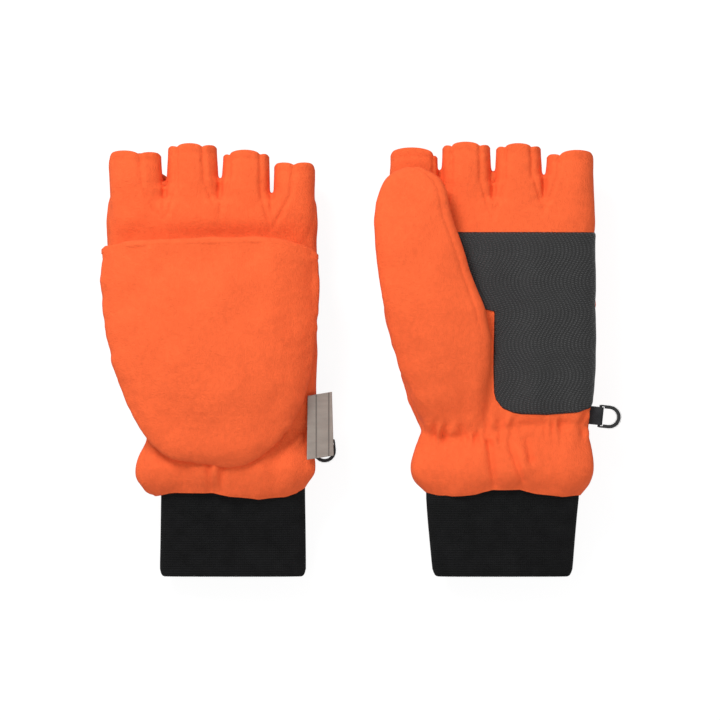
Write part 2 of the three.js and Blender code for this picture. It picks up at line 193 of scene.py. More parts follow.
def spline(points, count):
    """Catmull-Rom curve through points."""
    p = np.array(points, float)
    p = np.vstack([2 * p[0] - p[1], p, 2 * p[-1] - p[-2]])
    u = np.linspace(0, len(points) - 1 - 1e-9, count)
    i = np.floor(u).astype(int)
    t = (u - i)[:, None]
    a, b, c, d = p[i], p[i + 1], p[i + 2], p[i + 3]
    square = 2 * a - 5 * b + 4 * c - d
    cube = 3 * b - a - 3 * c + d
    return 0.5 * (2 * b + (c - a) * t + square * t ** 2 + cube * t ** 3)


def rounded(t, power=SQUARENESS):
    """A cosine or sine, changed so that a circle becomes a rounded rectangle."""
    return np.sign(t) * np.abs(t) ** (2 / power)


def strip(rows, around, closed=True):
    """Quads between rows of points; closed joins each row's last point to its first."""
    faces = []
    for k in range(rows - 1):
        for i in range(around if closed else around - 1):
            j = (i + 1) % around
            faces.append([
                k * around + i, (k + 1) * around + i, (k + 1) * around + j, k * around + j,
            ])
    return faces


def caps(rows, around):
    """The two ends of a closed strip."""
    last = (rows - 1) * around
    return [list(range(around)), [last + i for i in reversed(range(around))]]


def mesh_of(name, verts, faces):
    mesh = bpy.data.meshes.new(name)
    mesh.from_pydata([tuple(v) for v in verts], [], [tuple(int(i) for i in f) for f in faces])
    mesh.validate()
    return mesh


def coords(mesh):
    out = np.empty(len(mesh.vertices) * 3)
    mesh.vertices.foreach_get("co", out)
    return out.reshape(-1, 3)


def set_coords(mesh, points):
    mesh.vertices.foreach_set("co", np.asarray(points, float).ravel())
    mesh.update()


def normals(mesh):
    out = np.empty(len(mesh.vertices) * 3)
    mesh.vertex_normals.foreach_get("vector", out)
    return out.reshape(-1, 3)


def relax(mesh, rounds):
    """Averages each vertex with its neighbours, half way at a time."""
    edges = np.empty(len(mesh.edges) * 2, int)
    mesh.edges.foreach_get("vertices", edges)
    a, b = edges.reshape(-1, 2).T
    points = coords(mesh)
    size = len(points)
    count = np.bincount(np.r_[a, b], minlength=size).astype(float)
    for _ in range(rounds):
        total = np.zeros_like(points)
        for k in range(3):
            total[:, k] = np.bincount(a, points[b, k], size)
            total[:, k] += np.bincount(b, points[a, k], size)
        points = points + 0.5 * (total / np.maximum(count, 1)[:, None] - points)
    set_coords(mesh, points)


def linked(name, mesh):
    obj = bpy.data.objects.new(name, mesh)
    bpy.context.scene.collection.objects.link(obj)
    return obj


def baked(obj):
    """The object's mesh with its modifiers applied; the object goes."""
    graph = bpy.context.evaluated_depsgraph_get()
    mesh = bpy.data.meshes.new_from_object(obj.evaluated_get(graph), depsgraph=graph)
    bpy.data.objects.remove(obj)
    return mesh


def fused(name, parts, voxel):
    """One skin round closed parts, each (verts, faces)."""
    verts, faces, start = [], [], 0
    for v, f in parts:
        verts.extend(v)
        faces.extend([i + start for i in face] for face in f)
        start += len(v)
    obj = linked(name, mesh_of(name, verts, faces))
    remesh = obj.modifiers.new("skin", "REMESH")
    remesh.mode = "VOXEL"
    remesh.voxel_size = voxel
    remesh.adaptivity = 0
    return baked(obj)


def tube(rows, power=SQUARENESS, around=96):
    """A closed body through rounded sections, each (y, left, right, h, half)."""
    angle = np.linspace(0, 2 * np.pi, around, endpoint=False)
    c, s = np.cos(angle), np.sin(angle)
    verts = []
    for y, left, right, h, half in rows:
        x = (left + right) / 2 + rounded(c, power) * (right - left) / 2
        verts.extend(np.stack([x, np.full(around, y), h + rounded(s, power) * half], 1))
    return verts, strip(len(rows), around) + caps(len(rows), around)


def cut(mesh, y, side, low=(-FAR, -FAR), high=(FAR, FAR)):
    """Opens the skin at y, and drops what lies on that side, within a range of x and y."""
    bm = bmesh.new()
    bm.from_mesh(mesh)
    inside = lambda v: low[0] < v.co.x < high[0] and low[1] < v.co.y < high[1]
    chosen = [f for f in bm.faces if all(inside(v) for v in f.verts)]
    verts = list({v for f in chosen for v in f.verts})
    edges = list({e for f in chosen for e in f.edges})
    bmesh.ops.bisect_plane(
        bm, geom=verts + edges + chosen, dist=1e-5,
        plane_co=(0, y, 0), plane_no=(0, side, 0), clear_outer=True,
    )
    bm.to_mesh(mesh)
    bm.free()
    mesh.update()


def shade(mesh):
    for polygon in mesh.polygons:
        polygon.use_smooth = True


def thick(obj, amount):
    """Gives a skin its thickness, behind it, and bakes it."""
    solid = obj.modifiers.new("thickness", "SOLIDIFY")
    solid.thickness = amount * MM
    solid.offset = -1
    solid.use_even_offset = False
    name = obj.name
    mesh = baked(obj)
    mesh.name = name
    shade(mesh)
    return linked(name, mesh)


# ------------------------------------------------------------------ materials

def material(name, colour, roughness, build=None, sheen=0.0, specular=0.3):
    mat = bpy.data.materials.new(name)
    mat.use_nodes = True
    nodes, links = mat.node_tree.nodes, mat.node_tree.links
    shader = nodes["Principled BSDF"]
    shader.inputs["Base Color"].default_value = (*colour, 1)
    shader.inputs["Roughness"].default_value = roughness
    shader.inputs["Specular IOR Level"].default_value = specular
    shader.inputs["Sheen Weight"].default_value = sheen
    shader.inputs["Sheen Roughness"].default_value = 0.6
    shader.inputs["Sheen Tint"].default_value = (*colour, 1)
    where = nodes.new("ShaderNodeTexCoord").outputs["Object"]

    def noise(scale, detail=2.0, stretch=(1, 1, 1), rough=0.5):
        mapping = nodes.new("ShaderNodeMapping")
        mapping.inputs["Scale"].default_value = stretch
        links.new(where, mapping.inputs["Vector"])
        n = nodes.new("ShaderNodeTexNoise")
        n.inputs["Scale"].default_value = scale
        n.inputs["Detail"].default_value = detail
        n.inputs["Roughness"].default_value = rough
        links.new(mapping.outputs[0], n.inputs["Vector"])
        return n.outputs["Fac"]

    def wave(scale, direction, distortion=0.0, wobble=1.0, bend=None):
        """Even bands. bend = (width, frequency) makes them wander sideways as sines."""
        source = where
        if bend:
            split = nodes.new("ShaderNodeSeparateXYZ")
            join = nodes.new("ShaderNodeCombineXYZ")
            links.new(where, split.inputs[0])
            across, along = (0, 1) if direction == "X" else (1, 0)
            curve = maths("SINE", maths("MULTIPLY", split.outputs[along], bend[1]), 0)
            moved = maths("ADD", split.outputs[across], maths("MULTIPLY", curve, bend[0]))
            links.new(moved, join.inputs[across])
            links.new(split.outputs[along], join.inputs[along])
            links.new(split.outputs[2], join.inputs[2])
            source = join.outputs[0]
        n = nodes.new("ShaderNodeTexWave")
        n.bands_direction = direction
        n.inputs["Scale"].default_value = scale
        n.inputs["Distortion"].default_value = distortion
        n.inputs["Detail"].default_value = 1.0
        n.inputs["Detail Scale"].default_value = wobble
        links.new(source, n.inputs["Vector"])
        return n.outputs["Fac"]

    def maths(kind, a, b):
        n = nodes.new("ShaderNodeMath")
        n.operation = kind
        for socket, value in zip(n.inputs, (a, b)):
            if isinstance(value, (int, float)):
                socket.default_value = value
            else:
                links.new(value, socket)
        return n.outputs[0]

    def bump(height, strength, distance, below=None):
        n = nodes.new("ShaderNodeBump")
        n.inputs["Strength"].default_value = strength
        n.inputs["Distance"].default_value = distance * MM
        links.new(height, n.inputs["Height"])
        if below is not None:
            links.new(below, n.inputs["Normal"])
        return n.outputs["Normal"]

    def tint(factor, dark, light):
        n = nodes.new("ShaderNodeValToRGB")
        n.color_ramp.elements[0].position = 0.3
        n.color_ramp.elements[0].color = (*[c * dark for c in colour], 1)
        n.color_ramp.elements[1].position = 0.7
        n.color_ramp.elements[1].color = (*[min(1, c * light) for c in colour], 1)
        links.new(factor, n.inputs["Fac"])
        links.new(n.outputs["Color"], shader.inputs["Base Color"])

    def finish(normal):
        links.new(normal, shader.inputs["Normal"])

    if build:
        build(noise, wave, maths, bump, tint, finish)
    return mat


def fleece_nodes(noise, wave, maths, bump, tint, finish):
    nap = noise(1100, 4, rough=0.7)
    clumps = noise(420, 3, stretch=(1, 0.7, 1), rough=0.6)
    patches = noise(60, 3)
    tint(maths("ADD", maths("MULTIPLY", clumps, 0.6), maths("MULTIPLY", patches, 0.4)), 0.9, 1.1)
    finish(bump(nap, 0.8, 0.8, bump(clumps, 0.35, 0.8)))


def knit_nodes(noise, wave, maths, bump, tint, finish):
    stitches = wave(240, "Y", 1.2, 3)
    fuzz = noise(1400, 3)
    tint(maths("ADD", maths("MULTIPLY", noise(120, 3), 0.5), maths("MULTIPLY", fuzz, 0.5)), 0.5, 1.7)
    finish(bump(fuzz, 0.5, 0.3, bump(stitches, 0.7, 0.35)))


def patch_nodes(noise, wave, maths, bump, tint, finish):
    # short embossed dashes in wavy columns, also painted lighter where they stand up: a painted highlight
    # on their tops
    columns = wave(150, "X", 0, bend=(0.0036, 180))
    dashes = wave(300, "Y", 0, bend=(0.0012, 240))
    relief_and_highlight = maths("MULTIPLY", columns, dashes)
    worn = noise(75, 2)
    # colour: painted highlight on the raised dashes, plus random tone from worn
    tint(maths("ADD", maths("MULTIPLY", relief_and_highlight, 0.9), maths("MULTIPLY", worn, 0.3)), 0.6, 2.0)
    finish(bump(noise(1600, 2), 0.25, 0.1, bump(relief_and_highlight, 1.0, 0.6)))


def label_nodes(noise, wave, maths, bump, tint, finish):
    weft = wave(1100, "Y", 0.4, 2)
    warp = wave(900, "X", 0.4, 2)
    # two thin lines woven along its length
    line = maths("GREATER_THAN", wave(44.9, "X"), 0.97)
    satin = maths("ADD", maths("MULTIPLY", noise(90, 2, stretch=(1, 4, 1)), 0.25), 0.52)
    tint(maths("SUBTRACT", satin, maths("MULTIPLY", line, 0.5)), 0.5, 1.08)
    finish(bump(maths("ADD", weft, warp), 0.25, 0.08))


def webbing_nodes(noise, wave, maths, bump, tint, finish):
    twill = wave(420, "DIAGONAL", 0.5, 2)
    tint(noise(300, 2), 0.8, 1.25)
    finish(bump(noise(1500, 2), 0.3, 0.1, bump(twill, 0.6, 0.25)))


def plastic_nodes(noise, wave, maths, bump, tint, finish):
    tint(noise(180, 2), 0.9, 1.12)
    finish(bump(noise(700, 3), 0.12, 0.06))


def jersey_nodes(noise, wave, maths, bump, tint, finish):
    loops = wave(420, "X", 1.0, 2)
    tint(noise(150, 3), 0.85, 1.1)
    finish(bump(noise(1200, 3), 0.4, 0.2, bump(loops, 0.4, 0.2)))


def wadding_nodes(noise, wave, maths, bump, tint, finish):
    tint(noise(200, 4), 0.9, 1.05)
    finish(bump(noise(500, 4), 0.6, 0.5))


ORANGE = (0.95, 0.138, 0.04)
MATERIALS = {
    "fleece": material("fleece", ORANGE, 0.95, fleece_nodes, sheen=0.25, specular=0.15),
    "lining": material("lining", (0.8, 0.11, 0.032), 0.95, jersey_nodes, sheen=0.15, specular=0.15),
    "insulation": material("insulation", (0.8, 0.79, 0.74), 1.0, wadding_nodes, specular=0.1),
    "knit": material("knit", (0.0056, 0.0057, 0.006), 0.9, knit_nodes, sheen=0.03, specular=0.16),
    "patch": material("patch", (0.034, 0.034, 0.0345), 0.6, patch_nodes, specular=0.35),
    "label": material("label", (0.33, 0.29, 0.255), 0.5, label_nodes, sheen=0.2, specular=0.4),
    "tape": material("tape", (0.022, 0.022, 0.024), 0.85, webbing_nodes, specular=0.25),
    "plastic": material("plastic", (0.019, 0.0195, 0.02), 0.6, plastic_nodes, specular=0.3),
    "elastic": material("elastic", (0.03, 0.03, 0.03), 0.85, webbing_nodes, specular=0.2),
}


# ------------------------------------------------------------------ a glove

class Glove:
    """
    up is 1 with the back of the hand up, and -1 with the palm up. From the cuff to the hand the
    glove climbs by rise, and leans by roll for each mm of x; bend_from is where that starts.
    thumb_in, skirt_out, hood_in and wrap shift the thumb, the skirt's and the hood's left side,
    and the patch's right edge. The rest is described above GLOVES.
    """

    def __init__(
        self, name, up, rise, roll, bend_from, thumb_in, skirt_out, wrap, hood_in,
        stalls, forks, seams, folds, wrist, hem, cuff, seed,
    ):
        self.name, self.up, self.rise, self.roll = name, up, rise, roll
        self.bend_from, self.thumb_in, self.skirt_out = bend_from, thumb_in, skirt_out
        self.wrap, self.hood_in = wrap, hood_in
        self.stalls, self.forks, self.seams, self.folds = stalls, forks, seams, folds
        self.wrist, self.hem, self.cuff = wrist, hem, cuff
        self.noise = Noise(seed)
        # the hand frame's origin, from the CAD cuff's left lower corner
        low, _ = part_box(f"{name}_knit_cuff")
        self.x = low[0] / MM + 31
        self.y = low[1] / MM
        self.z = low[2] / MM + 8.4
        self.body = f"{name}_glove"

    def bend(self, y):
        knots = [float(smoothstep(k, self.bend_from, BEND_KNOTS[-1])) for k in BEND_KNOTS]
        return np.interp(y, BEND_KNOTS, knots)

    def place(self, points):
        """Hand-frame millimetres to metres where the glove lies."""
        x, y, h = np.asarray(points, float).T
        z = self.z + self.bend(y) * (self.rise + self.roll * x) + self.up * h
        return np.stack([x + self.x, y + self.y, z], 1) * MM

    def lay(self, mesh):
        """Lays a mesh drawn in the hand frame, in metres, on the table."""
        points = self.place(coords(mesh) / MM)
        points[:, 2] = np.maximum(points[:, 2], ABOVE_TABLE * MM)
        set_coords(mesh, points)
        if self.up < 0:
            mesh.flip_normals()
        shade(mesh)
        return mesh

    def piece(self, name, mesh, finish):
        mesh.materials.clear()
        mesh.materials.append(MATERIALS[finish])
        obj = linked(f"{self.name}_{name}", mesh)
        return obj

    def nodes(self, *names):
        return [f"{self.name}_{n}" for n in names]


def metres(verts):
    return [tuple(np.asarray(v, float) * MM) for v in verts]


def hand_rows():
    ys = np.arange(38, WEB_Y + 0.1, 2.0)
    left, right, half = table(HAND, ys)
    rows = [[y, a, b, 0, c] for y, a, b, c in zip(ys, left, right, half)]
    # two smaller sections round off the end
    _, a, b, h, c = rows[-1]
    for step, shrink in ((0.8, 0.9), (1.6, 2.6)):
        rows.append([WEB_Y + step, a + shrink, b - shrink, h, max(c - shrink * 1.6, 2)])
    return rows


def scallop(glove, x, y):
    """How far the edge of a stall's mouth stands out: a lobe for each panel between two seams."""
    out = np.zeros_like(x)
    for i, ((left, right, tip), seams) in enumerate(zip(glove.stalls, glove.seams)):
        low, high = stall_span(glove, i)
        edges = [left, *seams, right]
        widest = max(b - a for a, b in zip(edges, edges[1:]))
        at = np.clip(x, left, right - 0.01)
        corner = np.clip(1 - np.minimum(at - left, right - at) / CORNER, 0, 1)
        edge = -CORNER * (1 - np.sqrt(1 - corner ** 2))
        for a, b in zip(edges, edges[1:]):
            u = np.clip(np.abs(at - (a + b) / 2) / ((b - a) / 2), 0, 1)
            lobe = LOBE * ((b - a) * np.sqrt(1 - u ** 2) - widest) - 0.05 * (widest - b + a)
            edge = edge + np.where((at >= a) & (at < b), lobe, 0)
        inside = (x >= low) & (x < high) & (y > tip - 14)
        out += np.where(inside, edge * smoothstep(y, tip - 14, tip), 0)
    return out


def stall_span(glove, i):
    """From halfway to the stall before to halfway to the next."""
    low = fork_x(glove, i - 1) if i > 0 else -FAR
    high = fork_x(glove, i) if i < 3 else FAR
    return low, high


def fork_x(glove, i):
    """Where the fork between stall i and the next lies."""
    return (glove.stalls[i][1] + glove.stalls[i + 1][0]) / 2


def seam_lines(glove):
    """Stall seams as (x, y) lines: down each stall, then to a point below its fork."""
    lines = []
    for i, ((_, _, tip), seams) in enumerate(zip(glove.stalls, glove.seams)):
        sides = (i - 1, i) if len(seams) == 2 else (0,) if i == 0 else (2,)
        for x, fork in zip(seams, sides):
            end_x, end_y = fork_x(glove, fork), glove.forks[fork]
            lines.append([(x, tip + 9), (0.85 * x + 0.15 * end_x, end_y - 3), (end_x, end_y - 24)])
    return lines


def line_distance(x, y, line):
    best = np.full(x.shape, FAR)
    for (ax, ay), (bx, by) in zip(line, line[1:]):
        dx, dy = bx - ax, by - ay
        t = np.clip(((x - ax) * dx + (y - ay) * dy) / (dx * dx + dy * dy), 0, 1)
        best = np.minimum(best, np.hypot(x - ax - t * dx, y - ay - t * dy))
    return best


def stall_relief(glove, x, y, flat):
    """Seams, rounded panels and rolled mouths of the finger stalls."""
    noise = glove.noise
    out = np.zeros_like(x)
    for i in range(3):
        fork = glove.forks[i]
        crease = smoothstep(y, 197, fork - 4) * (1 - smoothstep(y, fork, fork + 5))
        out -= 1.9 * flat * bell(x - fork_x(glove, i), 1.2) * crease
    for line in seam_lines(glove):
        d = line_distance(x, y, line)
        deep = flat * smoothstep(y, line[2][1] - 2, line[1][1] - 10)
        out -= deep * (0.8 * bell(d, 0.9) - 0.25 * bell(d - 2.6, 1.4))
        out += deep * 0.3 * bell(d, 2.6) * noise(x / 2, y / 2.4, 7)
    for (left, right, tip), seams in zip(glove.stalls, glove.seams):
        edges = [left, *seams, right]
        for a, b in zip(edges, edges[1:]):
            u = np.clip(np.abs(x - (a + b) / 2) / ((b - a) / 2), 0, 1)
            crown = 0.6 * flat * np.sqrt(1 - u ** 2) * smoothstep(y, 205, 222)
            out += np.where((x >= a) & (x < b), crown, 0)
        near = (x > left - 1) & (x < right + 1)
        out += np.where(near, flat * (0.2 * bell(y - tip + 1.4, 1.8) - 0.25 * bell(y - tip + 5, 1.2)), 0)
    return out


def hand_relief(glove, p, n):
    """How far the fleece stands out of its plain form, in mm: gathers, seams and soft dents."""
    x, y, h = p.T
    noise = glove.noise
    flat = np.abs(n[:, 2])
    half = table(HAND, y)[2]
    own = 1 - smoothstep(-h - half, 1.5, 3.5)     # 0 on the thumb
    out = 0.75 * noise(x / 22, y / 26, h / 18) + 0.34 * noise(x / 8 + 5, y / 9, h / 8)
    # soft folds that run up from the wrist
    out += 1.0 * bell(y - 102, 20) * noise(x / 8 + 3, y / 46, 4)
    # shirring over the elastic: short sharp puckers, and a broken line where it pulls in
    pull = y - np.interp(x, *glove.wrist)
    pucker = np.sin(x / 1.15 + 5 * noise(x / 13, y / 16, h / 9))
    pucker *= 0.7 + 1.1 * noise(x / 9 + 4, pull / 6, 2)
    out += 1.25 * bell(pull, 7) * pucker
    out -= 1.5 * bell(pull, 2.6) * (0.6 + 0.6 * noise(x / 7, 4, h / 9))
    # the skirt's pleats and folds
    out += 1.7 * bell(y - 62, 13) * noise(x / 8.5 + 1, y / 60, h / 9)
    out += 0.8 * bell(y - 50, 5) * noise(x / 4.2, y / 20, h / 6)
    for line in glove.folds:
        d = line_distance(x, y, line)
        out += flat * bell(y - 64, 17) * (0.6 * bell(d - 4.4, 3) - 1.7 * bell(d, 1.6))
    # pressed down behind the hood's mouth
    out -= 3.0 * (h > 0) * bell(y - 191, 7) * (0.35 + 0.65 * bell(x - 8, 30))
    out += own * stall_relief(glove, x, y, flat)
    # the walls of the gaps are plain
    for i in range(3):
        out *= 1 - smoothstep(y, 206, 214) * bell(x - fork_x(glove, i), 4.2) * (1 - flat ** 2)
    # the thumb: a side seam, and soft dents
    rows = np.array(THUMB, float)
    edge = np.interp(y, rows[:, 0], rows[:, 2]) + thumb_shift(glove, y) - 4.6
    seam = 0.45 * bell(x - edge, 0.9) - 0.15 * bell(np.abs(x - edge) - 2.6, 1.6)
    out += (1 - own) * (0.7 * noise(x / 14, y / 22, 9) - seam * smoothstep(y, 120, 150))
    return out


def hem_drop(glove, p):
    """Shifts the fleece's hem up and down along the cuff."""
    x, y, _ = p.T
    return np.interp(x, *glove.hem) * (1 - smoothstep(y, HEM_Y, HEM_Y + 14))


def stall_edges(glove, i, y):
    """A stall's left and right edge at y: lapped with its neighbours up to the fork, free above."""
    left, right, tip = glove.stalls[i]
    edges = [left, right]
    for side, j in ((0, i - 1), (1, i + 1)):
        if not 0 <= j < 4:
            continue
        fork = glove.forks[min(i, j)] - FORK_BELOW
        middle = (edges[side] + glove.stalls[j][1 - side]) / 2
        if y < fork:
            lap = 1.0 + 3.4 * (1 - float(smoothstep(y, 194, fork)))
            edges[side] = middle + (lap if side else -lap)
        else:
            widest = abs(edges[side] - middle) + GAP_MORE
            apart = GAP_FOOT + (widest - GAP_FOOT) * min(1.0, (y - fork) / (tip - 1 - fork))
            edges[side] = middle + (-apart if side else apart)
    return edges


def hand_parts(glove):
    parts = [tube(hand_rows())]
    for i, (_, _, tip) in enumerate(glove.stalls):
        rows = []
        for y in np.r_[np.arange(SLEEVE_FROM, tip - 1, 2.0), tip, tip + OVERRUN]:
            left, right = stall_edges(glove, i, y)
            inset = 3 * (1 - float(smoothstep(y, SLEEVE_FROM, 206)))
            slim = 0.9 * float(smoothstep(y, tip - 16, tip))
            rows.append([y, left + inset, right - inset, 0, STALL_HALF - 0.7 * inset - slim])
        parts.append(tube(rows, power=2.35))
    return parts


def thumb_shift(glove, y):
    """How far the thumb lies in under the palm."""
    return glove.thumb_in * smoothstep(y, 120, 175)


def thumb_part(glove):
    ys = np.r_[np.arange(76, 226, 2.0), 226, 227.5, 228.7, 229.6, 230.3]
    left, right, depth, half = table(THUMB, ys, 1.6)
    move = thumb_shift(glove, ys)
    return tube(np.stack([ys, left + move, right + move, -depth, half], 1), 2.3)


def hand_skin(glove, parts, voxel):
    """The fleece's outer face: the parts in one skin, open at the cuff and at the stalls' mouths."""
    mesh = fused(f"{glove.name}_hand", [(metres(v), f) for v, f in parts], voxel * MM)
    relax(mesh, 4)
    for i, (_, _, tip) in enumerate(glove.stalls):
        low, high = stall_span(glove, i)
        cut(mesh, tip * MM, 1, (low * MM, (tip - 6) * MM), (high * MM, FAR))
    cut(mesh, HEM_Y * MM, -1, (-FAR, -FAR), (FAR, 80 * MM))
    p = coords(mesh) / MM
    n = normals(mesh)
    p += n * hand_relief(glove, p, n)[:, None]
    p[:, 1] += scallop(glove, p[:, 0], p[:, 1]) + hem_drop(glove, p)
    p[:, 0] -= glove.skirt_out * bell(p[:, 1] - 66, 18) * smoothstep(-p[:, 0], 5, 40)
    set_coords(mesh, p * MM)
    return mesh


def lined_copy(mesh, inset, y_to=None):
    """A copy of an open skin from LINED_FROM up, drawn in along its normals."""
    copy = mesh.copy()
    set_coords(copy, coords(copy) - normals(copy) * inset * MM)
    cut(copy, LINED_FROM * MM, -1)
    if y_to is not None:
        cut(copy, y_to * MM, 1)
    return copy


def build_hand(glove):
    parts = hand_parts(glove)
    palm = hand_skin(glove, parts, 1.3)
    tree = BVHTree.FromPolygons([v.co for v in palm.vertices], [f.vertices for f in palm.polygons])
    skin = hand_skin(glove, parts + [thumb_part(glove)], 0.9)
    lining_skin = lined_copy(skin, 3.2)
    insulation_skin = lined_copy(palm, 2.2, y_to=SLEEVE_FROM)
    fleece = thick(glove.piece("fleece", skin, "fleece"), 1.9)
    lining = thick(glove.piece("lining_bag", lining_skin, "lining"), 0.8)
    insulation = thick(glove.piece("insulation_wrap", insulation_skin, "insulation"), 0.8)
    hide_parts(*glove.nodes(
        "back_panel", "palm_panel", "thumb_inner_panel", "thumb_outer_panel",
        "index_middle_fourchette", "middle_ring_fourchette", "ring_little_fourchette",
    ))
    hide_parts(*glove.nodes("lining"))
    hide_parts(*glove.nodes("insulation"))
    for obj, finish in ((fleece, "fleece"), (lining, "lining"), (insulation, "insulation")):
        glove.lay(obj.data)
        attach(obj, glove.body)
    return tree


def build_patch(glove, tree):
    """The grip patch, laid over the palm and round the little finger's side."""
    u = np.linspace(0, 1, 72)
    v = np.linspace(0, 1, 100)
    foot = np.interp(
        u, [0, 0.04, 0.12, 0.2, 0.45, 0.75, 0.93, 0.98, 1],
        [100, 95, 92.6, 91.7, 91.3, 92.6, 95, 97, 100],
    )[:, None]
    U, V = np.meshgrid(u, v, indexing="ij")
    Y = foot + V * (PATCH_TOP - foot)
    left = np.interp(Y, [91, 96, 104, 118, 149, 150.6, 193.6], [6, 3.6, 1.6, 1.2, 1.8, -5, -23])
    right = np.interp(Y, [91, 96, 104, 190, 194], [57, 60, 61.5, 61.5, 60.9]) + glove.wrap
    width = right - left
    S = left + U * width
    rim = np.minimum.reduce([U * width, (1 - U) * width, Y - foot, PATCH_TOP - Y])
    verts = np.zeros(U.shape + (3,))
    for i, j in np.ndindex(U.shape):
        # rays from inside the hand to the palm's skin, fanned out round its side
        lean = max(0.0, (S[i, j] - PATCH_TURN) / TURN_RADIUS)
        way = Vector((math.sin(lean), 0, -math.cos(lean)))
        start = Vector((min(S[i, j], PATCH_TURN) * MM, Y[i, j] * MM, 0.0))
        depth = tree.ray_cast(start, way, RAY_LENGTH * MM)[3]
        soft = float(smoothstep(rim[i, j], 0, 1.4))
        lift = 0.3 + 0.8 * soft - 0.35 * float(bell(rim[i, j] - 2.6, 0.5))
        verts[i, j] = start + way * (depth + lift * MM)
    faces = [[a, d, c, b] for a, b, c, d in strip(*U.shape, closed=False)]
    mesh = mesh_of(f"{glove.name}_patch", verts.reshape(-1, 3), faces)
    obj = thick(glove.piece("grip_patch", mesh, "patch"), 0.9)
    glove.lay(obj.data)
    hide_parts(*glove.nodes("palm_patch"))
    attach(obj, glove.body)


def hood_outline():
    side = spline([(HOOD_RIGHT, MOUTH_Y - 6), *HOOD_SIDE, (HOOD_LEFT, MOUTH_Y - 6)], 150)
    top = [(HOOD_LEFT, MOUTH_Y + OVERRUN), (HOOD_RIGHT, MOUTH_Y + OVERRUN)]
    return np.vstack([top, side])


def hood_hang(x):
    """How far the hood's sides hang down over the hand's edges."""
    return 5.2 * smoothstep(np.abs(x - 1), 30, 64) ** 1.5


def hood_under(x):
    """Just inside the hood's under panel."""
    return HOOD_UNDER_H + 0.3 - hood_hang(x)


def swelling(name, parts, points):
    """How far air pressure lifts cloth at each point, in mm.

    A coarse copy of the pad is simulated, and its lift is spread over the fine mesh,
    so that the fine mesh keeps its outline.
    """
    scene = bpy.context.scene
    mesh = fused(name, parts, CLOTH_VOXEL * MM)
    before = coords(mesh)
    obj = linked(name, mesh)
    settings = obj.modifiers.new("cloth", "CLOTH").settings
    settings.use_pressure = True
    settings.uniform_pressure_force = CLOTH_PRESSURE
    settings.effector_weights.gravity = 0
    for step in range(1, CLOTH_FRAMES + 1):
        scene.frame_set(step)
    after = coords(baked(obj))
    scene.frame_set(1)
    lift = np.clip((after - before)[:, 2] / MM, -CLOTH_CAP, CLOTH_CAP)
    tree = kdtree.KDTree(len(before))
    for k, place in enumerate(before):
        tree.insert(place, k)
    tree.balance()
    out = []
    for point in points:
        near = tree.find_n(point, CLOTH_NEAR)
        weight = np.array([1 / (distance / MM + 1) ** 2 for _, _, distance in near])
        out.append(weight @ lift[[k for _, k, _ in near]] / weight.sum())
    return np.array(out)


def build_hood(glove):
    outline = hood_outline()
    middle = (HOOD_LEFT + HOOD_RIGHT) / 2
    verts = []
    for t, shrink in HOOD_LEVELS:
        across = 1 - 2 * shrink / (HOOD_RIGHT - HOOD_LEFT)
        along = 1 - shrink / HOOD_LENGTH
        h = HOOD_UNDER_H + t * (HOOD_CROWN_H - HOOD_UNDER_H)
        for x, y in outline:
            far = y if y > MOUTH_Y - 1 else MOUTH_Y + (y - MOUTH_Y) * along
            verts.append((middle + (x - middle) * across, far, h))
    size = (len(HOOD_LEVELS), len(outline))
    pouch = [(metres(verts), strip(*size) + caps(*size))]
    mesh = fused(f"{glove.name}_hood", pouch, 1.1 * MM)
    relax(mesh, 14)
    cut(mesh, MOUTH_Y * MM, 1)
    lift = swelling(f"{glove.name}_hood_cloth", pouch, coords(mesh))
    p = coords(mesh) / MM
    nrm = normals(mesh)
    x, y, h = p.T
    noise = glove.noise
    up = np.clip((h - HOOD_UNDER_H - 1.5) / 8, 0, 1)
    # a soft pouch, fullest in the middle
    outward = np.hypot((x + 6) / 60, (y - 130) / 66)
    inner = up * (1 - smoothstep(outward, 0.55, 0.95))
    p[:, 2] += inner * (lift - np.average(lift, weights=inner + 1e-9))
    p[:, 2] -= 0.6 * up * smoothstep(y, MOUTH_Y - 34, MOUTH_Y)
    p[:, 2] -= 2.4 * up * smoothstep(outward, 0.2, 1.15)
    out = up * (1.5 * noise(x / 27 + 2, y / 31, 2) + 0.75 * noise(x / 11, y / 12, 8))
    out += up * 0.16 * noise(x / 5, y / 5, 5)
    # the seam round the rim, and small puckers along it
    rim = np.abs(h - HOOD_UNDER_H - 2.6)
    sewn = y < MOUTH_Y - 4
    out -= np.where(sewn, 0.8 * bell(rim, 0.9), 0)
    pucker = 0.9 * bell(rim - 4, 3.5) * (1 - nrm[:, 2] ** 2) * noise(x / 4.5, y / 4.5, 6)
    out += np.where(sewn, pucker, 0)
    p += nrm * out[:, None]
    # the sides hang over the hand's edges, and the mouth's corners are drawn back
    p[:, 2] -= hood_hang(x) + 2.2 * smoothstep(MOUTH_Y - y, 84, HOOD_LENGTH)
    p[:, 0] += glove.hood_in * smoothstep(-x, 20, 50) * bell(y - 112, 40)
    near = smoothstep(y, MOUTH_Y - 16, MOUTH_Y)
    p[:, 1] += near * (0.4 * noise(x / 15, 3, 3) + np.interp(x, *MOUTH_EDGE) - 1.2)
    set_coords(mesh, p * MM)
    hood = thick(glove.piece("hood", mesh, "fleece"), 2.4)
    q = coords(hood.data) / MM
    top = q[(q[:, 1] > MOUTH_Y - 7.5) & (q[:, 2] > HOOD_UNDER_H + 1.5)]
    glove.lay(hood.data)
    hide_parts(*glove.nodes("hood_under_panel", "hood_top_panel"))
    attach(hood, f"{glove.name}_hood")
    build_hem(glove, top)


